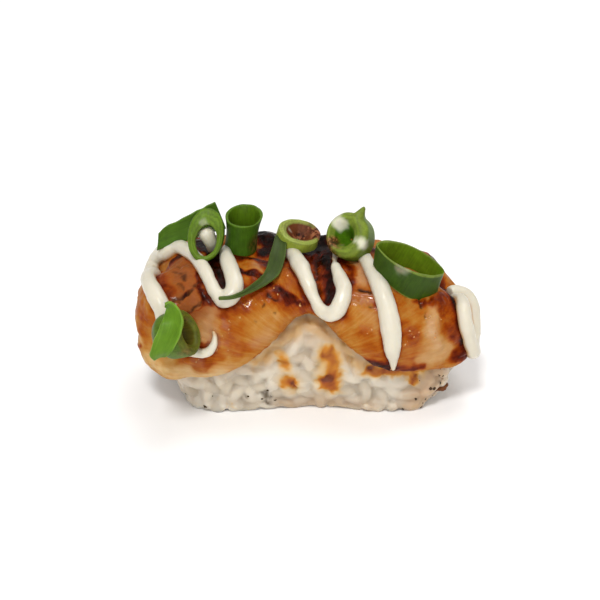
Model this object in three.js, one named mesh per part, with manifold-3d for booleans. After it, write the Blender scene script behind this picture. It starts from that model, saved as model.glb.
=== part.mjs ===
// Grilled scallop nigiri: a butterflied scallop slice draped over a pressed bed of rice,
// with two runs of mayonnaise and eight pieces of green onion on top.
// Millimetres, +Z up. The origin is the centre of the rice's flat underside, +X runs along
// the nigiri to its right end and -Y is its front.
import * as THREE from 'three';
import { mergeVertices } from 'three/addons/utils/BufferGeometryUtils.js';
import Module from 'manifold-3d';

const wasm = await Module();
wasm.setup();

// Driving dimensions.
const gap = 0.3; // air between two pieces that lie on each other
const belly = 11.8; // height at which the slice and the rice are widest
const slice = { left: 30.6, right: 28.9, halfWidth: 14.5, rise: 12.8, crown: 3.4, side: 2.0 };
const hinge = { x: 1, reach: 5, depth: 1.5 }; // the fold between the slice's two lobes
const rice = { footLeft: 5.6, footRight: 4.6, footWidth: 0.4, arch: 2.2, archReach: 13, unevenness: 0.3 };
const planPower = 0.66; // below 1 squares off the outline seen from above
const endPower = { left: 0.46, right: 0.76, middle: 0.75 }; // how squarely each end falls away
// A bead of mayonnaise: half its width, its height, how long its ends are, and how far its flat
// underside stands off the slice, whose hinge it bridges.
const bead = { width: 1.65, height: 1.8, taper: 3.2, lift: 0.54 };

// Height of the slice's edge round the nigiri: degrees from +X, then millimetres.
const edgeHeights = [
  [0, 8.4], [28, 9], [55, 9.6], [76, 12], [90, 17.4], [104, 12.4], [126, 9.6], [152, 8.4],
  [180, 8], [205, 8.8], [222, 8.2], [241, 8.7], [250, 9.9], [257, 12.1], [263, 15.9],
  [266.7, 19.6], [269.2, 21.1], [270.8, 21.1], [272.4, 19.7], [274, 18], [277.4, 15.4],
  [281, 13.1], [286, 11.2], [296, 10.3], [325, 9.2], [360, 8.4],
];

// Routes of the mayonnaise, hand laid near the slice and settled onto it.
const zigzagRoute = [
  [-16.6, -15, 19.5], [-17, -15, 17.2], [-18.4, -15, 15.8], [-20.4, -14.5, 15], [-23, -13.6, 15.2],
  [-24.8, -13, 17.4], [-25.4, -12.6, 20], [-26, -11.6, 22], [-27.2, -9.6, 23.4], [-28.3, -6.5, 24.4],
  [-29, -3, 24.2], [-29.5, 1, 22.6], [-29.3, 5, 20], [-28.2, 7.8, 20.2], [-27.2, 7, 23],
  [-26.4, 4.5, 25], [-24.8, 3.4, 26.4], [-23, 1.2, 27], [-20.8, -2, 27.3], [-19.4, -6, 27.2],
  [-18.1, -9.6, 26.3], [-17, -11.6, 25.2], [-15.6, -12.6, 24.4], [-14.3, -12.3, 24.7],
  [-13.5, -10.9, 25.8], [-13.6, -8.6, 27], [-14.5, -4.4, 27.5], [-15.2, -0.6, 27.5],
  [-15, 3, 27.3], [-13.6, 7, 26], [-11.5, 12, 23], [-8.5, 13.8, 20.5], [-5.5, 12.5, 22.5],
  [-4.6, 7, 26], [-3.8, 1.5, 27], [-2.6, -1.5, 27], [-1.7, -5, 26.6], [-0.4, -8.8, 25.2],
  [1, -11.2, 23.6], [2.6, -12.7, 22.3], [4.2, -13.1, 22.4], [5.4, -12.3, 23.6], [6.1, -10.6, 25],
  [5.8, -8.2, 26.2], [5.3, -5.4, 27], [5, -2.4, 27], [5.1, 1, 27.3], [5.6, 5, 26.8],
  [6.2, 8, 25.8], [7.6, 11, 24.5], [9.6, 10, 25], [10.4, 5, 27], [9.9, -0.6, 27.5],
  [11.4, -5.4, 27], [12.9, -9.6, 25.4], [14.1, -13, 23], [14.9, -14.8, 19.5], [15.3, -15.3, 16.3],
  [15.4, -15, 12.4],
];
const endRoute = [
  [27, -2, 21.8], [27.2, -5.6, 21], [27.6, -7.8, 19.6], [28.1, -9, 17.4], [28.8, -8.7, 14.2],
  [29.7, -6.5, 11.8], [30.3, -3.6, 11.6], [30.4, -1.4, 14], [30, 0, 17.4], [29, 1, 20],
];

// Green onion: slices of hollow stalk, each an oval tube. half is the oval's half-axes and tilt the
// degrees turned about X, Y and Z. pinch draws the oval's ends to corners, slant raises one side of
// the upper cut, and spike draws the rim out to a point.
const stalks = {
  onion_ring_left: {
    half: [3.3, 5.1], height: 2.6, wall: 1.3,
    at: [-19.2, -1.5, 32.4], tilt: [62, 0, -9],
  },
  onion_tube: {
    half: [3.3, 3.5], height: 7, wall: 0.7, slant: 0.4,
    at: [-12.5, 2, 31.3], tilt: [2, 0, 0],
  },
  onion_ring_centre: {
    half: [4, 3.2], height: 2.2, wall: 1.1,
    at: [-2, 2.4, 30], tilt: [20, 14, 0],
  },
  onion_ring_right: {
    half: [4, 4.1], height: 3.6, wall: 1.5, spike: 0.5,
    at: [8.2, -0.6, 31.2], tilt: [50, -25, 0],
  },
  onion_ring_large: {
    half: [6.4, 4.3], height: 5.4, wall: 0.65, pinch: 0.3,
    at: [18.3, -7.2, 28], tilt: [9, 23, 0],
  },
  onion_curl_front: {
    half: [4.5, 4], height: 5.6, wall: 0.9,
    at: [-24.2, -17.2, 20.1], tilt: [38, 62, -14],
  },
};

// Flat pieces of leaf bent along a route, their width and the way it runs changing end to end.
const leaves = {
  onion_leaf_left: {
    route: [[-28.2, 5, 28], [-24.6, 5, 30], [-20.6, 4.6, 32], [-16.8, 5, 33.4]],
    width: [3.4, 5], thickness: 0.9, across: [[-0.2, 0.2, 1], [-0.4, 0.2, 1]],
  },
  onion_blade: {
    route: [
      [-6.4, 0.8, 31.6], [-7.2, -2.4, 29.4], [-9.2, -8, 28.2], [-12.6, -14.8, 27.4],
      [-16.2, -16, 26.4],
    ],
    width: [2.6, 0.8], thickness: 0.7, across: [[1, 0, 0.1], [0.2, 0.5, 0.8]],
  },
};

// The torn edge that folds over the mouth of the curl at the front.
const curlFlap = {
  route: [
    [-26.6, -16.2, 25], [-24.8, -17.2, 25], [-23.8, -19.4, 24], [-24.4, -21.2, 21.6],
    [-26, -21.2, 17.8],
  ],
  width: [1.2, 2.6], thickness: 0.8, across: [[0.3, -0.9, 0.3], [1, -0.1, 0.3]],
};

const radians = THREE.MathUtils.degToRad;
const mix = THREE.MathUtils.lerp;
const ease = THREE.MathUtils.smoothstep;
const signedPower = (value, power) => Math.sign(value) * Math.abs(value) ** power;
const hump = (value, centre, reach) => Math.exp(-(((value - centre) / reach) ** 2));
const vectors = (rows) => rows.map((row) => new THREE.Vector3(...row));

// A turn that steps evenly along an outline squared off by planPower.
function evenTurn(turn) {
  return Math.atan2(signedPower(Math.sin(turn), 1 / planPower), signedPower(Math.cos(turn), 1 / planPower));
}

// A closed skin: a lathed outline whose points are then moved to place(turn, along), where along
// runs from 0 at its top to 1.
function skin(rows, segments, place) {
  const outline = [];
  for (let row = 0; row <= rows; row++) {
    outline.push(new THREE.Vector2(row === 0 || row === rows ? 0 : 1, row));
  }
  const geometry = new THREE.LatheGeometry(outline, segments);
  const position = geometry.getAttribute('position');
  for (let i = 0; i < position.count; i++) {
    const turn = evenTurn(((Math.floor(i / (rows + 1)) % segments) / segments) * 2 * Math.PI);
    const point = place(turn, 1 - (i % (rows + 1)) / rows);
    position.setXYZ(i, point.x, point.y, point.z);
  }
  return geometry;
}

// A three.js geometry as a solid, and a solid as a geometry.
function solidOf(geometry) {
  const bare = geometry.clone();
  bare.deleteAttribute('normal');
  bare.deleteAttribute('uv');
  const merged = mergeVertices(bare, 1e-4);
  return new wasm.Manifold(new wasm.Mesh({
    numProp: 3,
    vertProperties: merged.getAttribute('position').array,
    triVerts: new Uint32Array(merged.index.array),
  }));
}

function geometryOf(solid) {
  const { vertProperties, triVerts } = solid.getMesh();
  return new THREE.BufferGeometry()
    .setAttribute('position', new THREE.BufferAttribute(vertProperties, 3))
    .setIndex(new THREE.BufferAttribute(triVerts, 1));
}

// The middle surface of the draped slice, or one offset from it, at a turn round the nigiri and
// a fall from its top: 0 is the top and a right angle the belly.
function drape(turn, fall, offset, outlinePower = planPower) {
  const side = Math.cos(turn);
  const power = side < 0 ? endPower.left : endPower.right;
  const fallPower = mix(endPower.middle, power, ease(Math.abs(side), 0, 1));
  const reach = signedPower(Math.sin(fall), fallPower);
  const lengthways = signedPower(side, outlinePower);
  const halfLength = mix(slice.left, slice.right, (1 + lengthways) / 2);
  return new THREE.Vector3(
    (halfLength + offset) * lengthways * reach,
    (slice.halfWidth + offset) * signedPower(Math.sin(turn), outlinePower) * reach,
    belly + (slice.rise + offset) * signedPower(Math.cos(fall), fallPower),
  );
}

const halfThickness = (fall) => mix(slice.crown, slice.side, ease(fall, 0, Math.PI / 2));

const edgeCurve = new THREE.CubicInterpolant(
  edgeHeights.map(([degrees]) => degrees),
  edgeHeights.map(([, height]) => height),
  1,
);

// How far the slice falls at a turn before it reaches its edge.
function edgeFall(turn) {
  const height = edgeCurve.evaluate((THREE.MathUtils.radToDeg(turn) + 360) % 360)[0];
  let low = 0;
  let high = Math.PI * 0.7;
  for (let step = 0; step < 30; step++) {
    const middle = (low + high) / 2;
    if (drape(turn, middle, 0).z > height) low = middle;
    else high = middle;
  }
  return low;
}

// The butterflied slice, its rim rounded, thinner at the hinge between its lobes. grow makes the
// same form larger, for cutting its neighbours.
function scallopSlice(grow = 0) {
  const rimSharpness = 8;
  return skin(22, 64, (turn, along) => {
    const share = Math.sin(Math.PI * along);
    const side = along < 0.5 ? 1 : -1;
    const fall = share * (edgeFall(turn) + grow / slice.halfWidth);
    const half = halfThickness(fall) * Math.sqrt(1 - share ** rimSharpness) + grow;
    const outer = drape(turn, fall, half);
    const dip = side > 0 ? hinge.depth * hump(outer.x, hinge.x, hinge.reach) : 0;
    return drape(turn, fall, side * half - dip * (1 - share ** rimSharpness));
  });
}

// The rice fills the slice from inside and narrows to a flat foot, hollowed a little at the
// middle of each long side.
function riceBed() {
  const rows = { crown: 8, side: 6, base: 2 };
  const total = rows.crown + rows.side + rows.base;
  return skin(total, 48, (turn, along) => {
    const row = Math.round(along * total);
    if (row <= rows.crown) {
      const fall = (row / rows.crown) * (Math.PI / 2);
      return drape(turn, fall, -halfThickness(fall) - gap);
    }
    const down = Math.min(1, (row - rows.crown) / rows.side);
    const inward = Math.min(1, (total - row) / rows.base);
    const point = drape(turn, Math.PI / 2, -slice.side - gap, mix(planPower, 0.38, down));
    const inset = down ** 1.4;
    // The right end stands upright and tucks in only near its foot.
    const endInset = point.x < 0 ? rice.footLeft * inset : rice.footRight * (0.15 * inset + 0.85 * down ** 5);
    const lump = rice.unevenness * Math.sin(Math.PI * down)
      * (Math.sin(9 * turn + 4 * down) + Math.sin(17 * turn - 7 * down));
    const arch = rice.arch * hump(point.x, 0, rice.archReach) * down ** 2;
    point.x -= Math.cos(turn) * (endInset - lump);
    point.y -= Math.sin(turn) * (rice.footWidth * inset + arch - lump);
    point.z = belly * (1 - down);
    point.x *= inward;
    point.y *= inward;
    return point;
  });
}

const sliceMesh = new THREE.Mesh(scallopSlice());
sliceMesh.material.side = THREE.DoubleSide;

// The way out from the nigiri's long axis at a point.
function outwardAt(point) {
  const axisHalf = slice.right - slice.halfWidth;
  const inside = new THREE.Vector3(THREE.MathUtils.clamp(point.x, -axisHalf, axisHalf), 0, belly);
  return { inside, outward: point.clone().sub(inside).normalize() };
}

// A point moved onto the slice's outside.
function settle(point) {
  const { inside, outward } = outwardAt(point);
  const start = inside.clone().addScaledVector(outward, slice.left + slice.right);
  return new THREE.Raycaster(start, outward.clone().negate()).intersectObject(sliceMesh)[0].point;
}

// A bead of mayonnaise along a route on the slice, flat underneath, round above and at its ends.
function mayonnaise(route, grow = 0) {
  const path = new THREE.CatmullRomCurve3(vectors(route).map(settle));
  const length = path.getLength();
  const geometry = new THREE.CylinderGeometry(1, 1, 1, 8, Math.round(length / 1.7));
  const position = geometry.getAttribute('position');
  for (let i = 0; i < position.count; i++) {
    const along = position.getY(i) + 0.5;
    const toEnd = Math.min(1, (Math.min(along, 1 - along) * length) / bead.taper);
    const share = mix(0.3, 1, Math.sqrt(toEnd));
    const centre = settle(path.getPointAt(along));
    const { outward } = outwardAt(centre);
    const sideways = new THREE.Vector3().crossVectors(path.getTangentAt(along), outward).normalize();
    const wide = bead.width * share + grow;
    const tall = bead.height * share + 2 * grow;
    const point = centre
      .addScaledVector(sideways, wide * position.getX(i))
      .addScaledVector(outward, bead.lift - grow + tall * Math.max(0, position.getZ(i)));
    position.setXYZ(i, point.x, point.y, point.z);
  }
  return geometry;
}

// A slice of hollow stalk about its own centre.
function stalkSlice({ half, height, wall, pinch = 0, slant = 0, spike = 0 }) {
  const outline = [[0, 0], [1, 0], [1, 1], [0, 1], [0, 0]];
  const segments = 36;
  const geometry = new THREE.LatheGeometry(outline.map(([x, y]) => new THREE.Vector2(x + 1, y)), segments);
  const position = geometry.getAttribute('position');
  for (let i = 0; i < position.count; i++) {
    const angle = ((Math.floor(i / outline.length) % segments) / segments) * 2 * Math.PI;
    const [outside, level] = outline[i % outline.length];
    const thin = (1 - outside) * wall;
    const spread = 1 + outside * spike * hump(angle, radians(70), 0.1);
    position.setXYZ(
      i,
      (half[0] - thin) * spread * Math.cos(angle),
      (half[1] - thin) * spread * signedPower(Math.sin(angle), 1 + pinch),
      height * (level - 0.5) + slant * level * Math.sin(angle),
    );
  }
  return geometry;
}

// A flat piece of leaf bent along a route and troughed across.
function leafStrip({ route, width, across, thickness }) {
  const path = new THREE.CatmullRomCurve3(vectors(route));
  const geometry = new THREE.BoxGeometry(1, 1, 1, 2, 1, 10);
  const position = geometry.getAttribute('position');
  const [start, end] = vectors(across);
  for (let i = 0; i < position.count; i++) {
    const along = position.getZ(i) + 0.5;
    const wide = start.clone().lerp(end, along).normalize();
    const face = new THREE.Vector3().crossVectors(path.getTangent(along), wide).normalize();
    const sideways = position.getX(i);
    const point = path.getPoint(along)
      .addScaledVector(wide, sideways * mix(width[0], width[1], along))
      .addScaledVector(face, (position.getY(i) + 2 * sideways ** 2) * thickness);
    position.setXYZ(i, point.x, point.y, point.z);
  }
  return geometry;
}

// Turns a geometry about X, Y and Z by the tilt, in degrees, and moves it to its place.
function placed(geometry, { at, tilt }) {
  const turned = new THREE.Object3D();
  turned.position.set(...at);
  turned.rotation.set(...tilt.map(radians));
  turned.updateMatrix();
  return geometry.applyMatrix4(turned.matrix);
}

// The largest body of a solid: a cut can leave crumbs beside it.
function mainBody(solid) {
  return solid.decompose().sort((a, b) => b.volume() - a.volume())[0];
}

const finishes = {
  rice: { color: 0xd3c7b4, roughness: 0.5 },
  scallop: { color: 0xb5713a, roughness: 0.25 },
  mayonnaise: { color: 0xeee6d2, roughness: 0.35 },
  onion: { color: 0x47641c, roughness: 0.4 },
};

const nigiri = new THREE.Group();

function addPiece(name, geometry, finish) {
  const material = new THREE.MeshStandardMaterial({ ...finishes[finish], metalness: 0 });
  const mesh = new THREE.Mesh(geometry, material);
  mesh.name = name;
  nigiri.add(mesh);
}

addPiece('rice_bed', riceBed(), 'rice');
addPiece('scallop_slice', sliceMesh.geometry, 'scallop');

let taken = solidOf(scallopSlice(gap));
for (const [name, route] of [['mayonnaise_zigzag', zigzagRoute], ['mayonnaise_end', endRoute]]) {
  addPiece(name, mayonnaise(route), 'mayonnaise');
  taken = taken.add(solidOf(mayonnaise(route, gap)));
}

const onions = {};
for (const [name, stalk] of Object.entries(stalks)) onions[name] = solidOf(placed(stalkSlice(stalk), stalk));
for (const [name, leaf] of Object.entries(leaves)) onions[name] = solidOf(leafStrip(leaf));
onions.onion_curl_front = onions.onion_curl_front.add(solidOf(leafStrip(curlFlap)));
for (const [name, solid] of Object.entries(onions)) {
  addPiece(name, geometryOf(mainBody(solid.subtract(taken))), 'onion');
}

export default nigiri;
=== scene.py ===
# Looks of a grilled scallop nigiri: pressed rice, a butterflied slice of scallop glazed with dark
# sauce, two runs of mayonnaise and eight pieces of green onion. Lengths are in millimetres until a
# mesh is finished.
import functools
import math
import random

import bmesh
import bpy
import numpy as np
from mathutils import Euler, Matrix, Vector, noise
from mathutils.bvhtree import BVHTree
from mathutils.kdtree import KDTree


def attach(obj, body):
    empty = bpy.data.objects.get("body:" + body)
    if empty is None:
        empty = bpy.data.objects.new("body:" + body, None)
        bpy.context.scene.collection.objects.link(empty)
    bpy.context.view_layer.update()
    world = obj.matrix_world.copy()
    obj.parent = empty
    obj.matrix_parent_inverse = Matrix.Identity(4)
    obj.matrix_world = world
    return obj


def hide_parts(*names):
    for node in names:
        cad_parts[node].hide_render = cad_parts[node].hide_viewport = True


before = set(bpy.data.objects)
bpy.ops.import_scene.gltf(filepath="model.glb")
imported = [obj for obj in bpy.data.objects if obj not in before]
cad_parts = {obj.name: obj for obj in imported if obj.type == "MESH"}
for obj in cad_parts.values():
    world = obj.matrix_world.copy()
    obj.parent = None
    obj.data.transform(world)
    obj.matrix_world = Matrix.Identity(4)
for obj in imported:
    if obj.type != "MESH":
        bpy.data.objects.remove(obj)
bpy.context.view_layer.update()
mm = 0.001
noise.seed_set(3)  # without it noise_vector starts from the clock
print("frame loaded")


# Colours are sRGB hex, turned to the linear values that shaders take. A pattern's scale is how many
# of its blotches or fibres there are to a millimetre, so 0.7 gives blotches 1.4 mm across.
def linear(hexColour):
    channels = [int(hexColour[i:i + 2], 16) / 255 for i in (1, 3, 5)]
    return [c / 12.92 if c <= 0.04045 else ((c + 0.055) / 1.055) ** 2.4 for c in channels] + [1.0]


# Adds a node to a material. Settings are its properties and stops are a ramp's colours. Inputs are
# its sockets by name or number, each given a value, a colour, a socket, or a node for its first
# output.
def addNode(material, kind, inputs=None, stops=None, **settings):
    tree = material.node_tree
    node = tree.nodes.new("ShaderNode" + kind)
    for name, value in settings.items():
        setattr(node, name, value)
    for key, value in (inputs or {}).items():
        if isinstance(value, str):
            value = linear(value)
        if isinstance(value, bpy.types.Node):
            value = value.outputs[0]
        if isinstance(value, bpy.types.NodeSocket):
            tree.links.new(value, node.inputs[key])
        else:
            node.inputs[key].default_value = value
    if stops:
        ramp = node.color_ramp
        while len(ramp.elements) < len(stops):
            ramp.elements.new(1.0)
        for element, (place, colour) in zip(ramp.elements, stops):
            element.position = place
            element.color = linear(colour)
    return node


# A new material, and addNode for it.
def newMaterial(name):
    material = bpy.data.materials.new(name)
    material.use_nodes = True
    material.node_tree.nodes.clear()
    return material, functools.partial(addNode, material)


# Small measures used on whole arrays of points.
def ease(value, low, high):
    share = np.clip((value - low) / (high - low), 0, 1)
    return share * share * (3 - 2 * share)


def hump(distance, reach):
    return np.exp(-(distance / reach) ** 2)


def grainyNoise(points, size, seed=0, octaves=2):
    shift = Vector((17.3 * seed, 5.1 * seed, 9.7 * seed))
    return np.array([noise.fractal(Vector(p) / size + shift, 0.8, 2.1, octaves) for p in points])


# How far each point is from a route, or from a lone spot.
def nearRoute(points, route):
    route = np.array(route, float)
    if len(route) == 1:
        return np.linalg.norm(points - route[0], axis=1)
    nearest = np.full(len(points), 1e9)
    for start, end in zip(route[:-1], route[1:]):
        step = end - start
        share = np.clip((points - start) @ step / max(step @ step, 1e-9), 0, 1)
        gone = np.linalg.norm(points - start - share[:, None] * step, axis=1)
        nearest = np.minimum(nearest, gone)
    return nearest


# Meshes in and out of arrays.
def readPoints(mesh):
    points = np.zeros(len(mesh.vertices) * 3)
    mesh.vertices.foreach_get("co", points)
    return points.reshape(-1, 3)


def readNormals(mesh):
    normals = np.zeros(len(mesh.vertices) * 3)
    mesh.vertex_normals.foreach_get("vector", normals)
    return normals.reshape(-1, 3)


# A mesh's points moved out along its normals.
def lifted(mesh, lift):
    return readPoints(mesh) + readNormals(mesh) * np.reshape(lift, (-1, 1))


def writePoints(mesh, points):
    mesh.vertices.foreach_set("co", np.asarray(points, float).ravel())
    mesh.update()


def writeAttributes(mesh, **columns):
    for name, values in columns.items():
        values = np.asarray(values, float)
        kind, field = ("FLOAT", "value") if values.ndim == 1 else ("FLOAT_VECTOR", "vector")
        attribute = mesh.attributes.new(name, kind, "POINT")
        attribute.data.foreach_set(field, values.astype(np.float32).ravel())


def meshFrom(bm, name):
    mesh = bpy.data.meshes.new(name)
    bm.to_mesh(mesh)
    bm.free()
    return mesh


# An object in the scene for some data, and the mesh that its modifiers or curve settings make of it.
def placed(name, data):
    piece = bpy.data.objects.new(name, data)
    bpy.context.scene.collection.objects.link(piece)
    return piece


def evaluated(piece):
    depsgraph = bpy.context.evaluated_depsgraph_get()
    mesh = bpy.data.meshes.new_from_object(piece.evaluated_get(depsgraph))
    bpy.data.objects.remove(piece)
    return mesh


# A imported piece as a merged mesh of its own, in millimetres.
def cadCopy(node):
    bm = bmesh.new()
    bm.from_mesh(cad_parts[node].data)
    bmesh.ops.scale(bm, vec=(1 / mm, 1 / mm, 1 / mm), verts=bm.verts)
    bmesh.ops.remove_doubles(bm, verts=bm.verts, dist=0.005)
    return meshFrom(bm, node)


# The mesh with modifiers applied, each given as its kind and settings.
def modified(mesh, modifiers):
    stand = placed("stand", mesh)
    for kind, settings in modifiers:
        modifier = stand.modifiers.new(kind, kind)
        for name, value in settings.items():
            setattr(modifier, name, value)
    return evaluated(stand)


def remeshed(mesh, voxel, smoothing=0):
    steps = [("REMESH", {"mode": "VOXEL", "voxel_size": voxel})]
    if smoothing:
        steps.append(("SMOOTH", {"factor": 0.5, "iterations": smoothing}))
    return modified(mesh, steps)


def treeOf(mesh):
    bm = bmesh.new()
    bm.from_mesh(mesh)
    tree = BVHTree.FromBMesh(bm)
    bm.free()
    return tree


# Puts a finished mesh, still in millimetres, into the scene as a piece.
def addPiece(name, mesh, materials, slotName, *nodes):
    mesh.transform(Matrix.Scale(mm, 4))
    mesh.materials.clear()
    for material in materials:
        mesh.materials.append(material)
    mesh.shade_smooth()
    piece = placed(name, mesh)
    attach(piece, "root")
    if nodes:
        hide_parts(*nodes)
    print(name, len(mesh.polygons), "faces")


# Camera, a little above the front of the nigiri.
view = {"aim": (-1.7, 0, 17.8), "elevation": 28, "distance": 300, "lens": 95.4}


def addCamera():
    tilt = math.radians(view["elevation"])
    back = Vector((0, -math.cos(tilt), math.sin(tilt)))
    camera = placed("camera", bpy.data.cameras.new("camera"))
    camera.data.lens = view["lens"]
    camera.data.clip_start = 0.01
    camera.location = (Vector(view["aim"]) + view["distance"] * back) * mm
    camera.rotation_euler = (-back).to_track_quat("-Z", "Y").to_euler()
    bpy.context.scene.camera = camera


# Soft light from a pale room, a lamp above the front left, one overhead and a weak one in front.
studio = {
    "room": 0.46,
    "lamps": [
        {"name": "key", "from": (-0.25, -0.95, 1.75), "size": 0.45, "power": 22},
        {"name": "top", "from": (0.4, 0.5, 1.9), "size": 1, "power": 12},
        {"name": "fill", "from": (0.1, -2, 0.6), "size": 1.6, "power": 15.5},
    ],
    "floor": "#fbfaf9",
    "floorHalf": 3,  # metres
}


def addStudio():
    world = bpy.data.worlds.new("paleRoom")
    world.use_nodes = True
    world.node_tree.nodes["Background"].inputs["Color"].default_value = (1, 1, 1, 1)
    world.node_tree.nodes["Background"].inputs["Strength"].default_value = studio["room"]
    bpy.context.scene.world = world
    bpy.context.scene.view_settings.view_transform = "Standard"
    for lamp in studio["lamps"]:
        light = bpy.data.lights.new(lamp["name"], "AREA")
        light.size = lamp["size"]
        light.energy = lamp["power"]
        holder = placed(lamp["name"], light)
        holder.location = lamp["from"]
        holder.rotation_euler = (-Vector(lamp["from"])).to_track_quat("-Z", "Y").to_euler()


def addFloor():
    bm = bmesh.new()
    bmesh.ops.create_grid(bm, x_segments=2, y_segments=2, size=studio["floorHalf"])
    mesh = meshFrom(bm, "floor")
    material, add = newMaterial("paleTable")
    surface = add("BsdfPrincipled", {
        "Base Color": studio["floor"],
        "Roughness": 0.6,
    })
    add("OutputMaterial", {"Surface": surface})
    mesh.materials.append(material)
    floor = placed("floor", mesh)


addCamera()
addStudio()
addFloor()
print("camera, lamps and floor")


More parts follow.
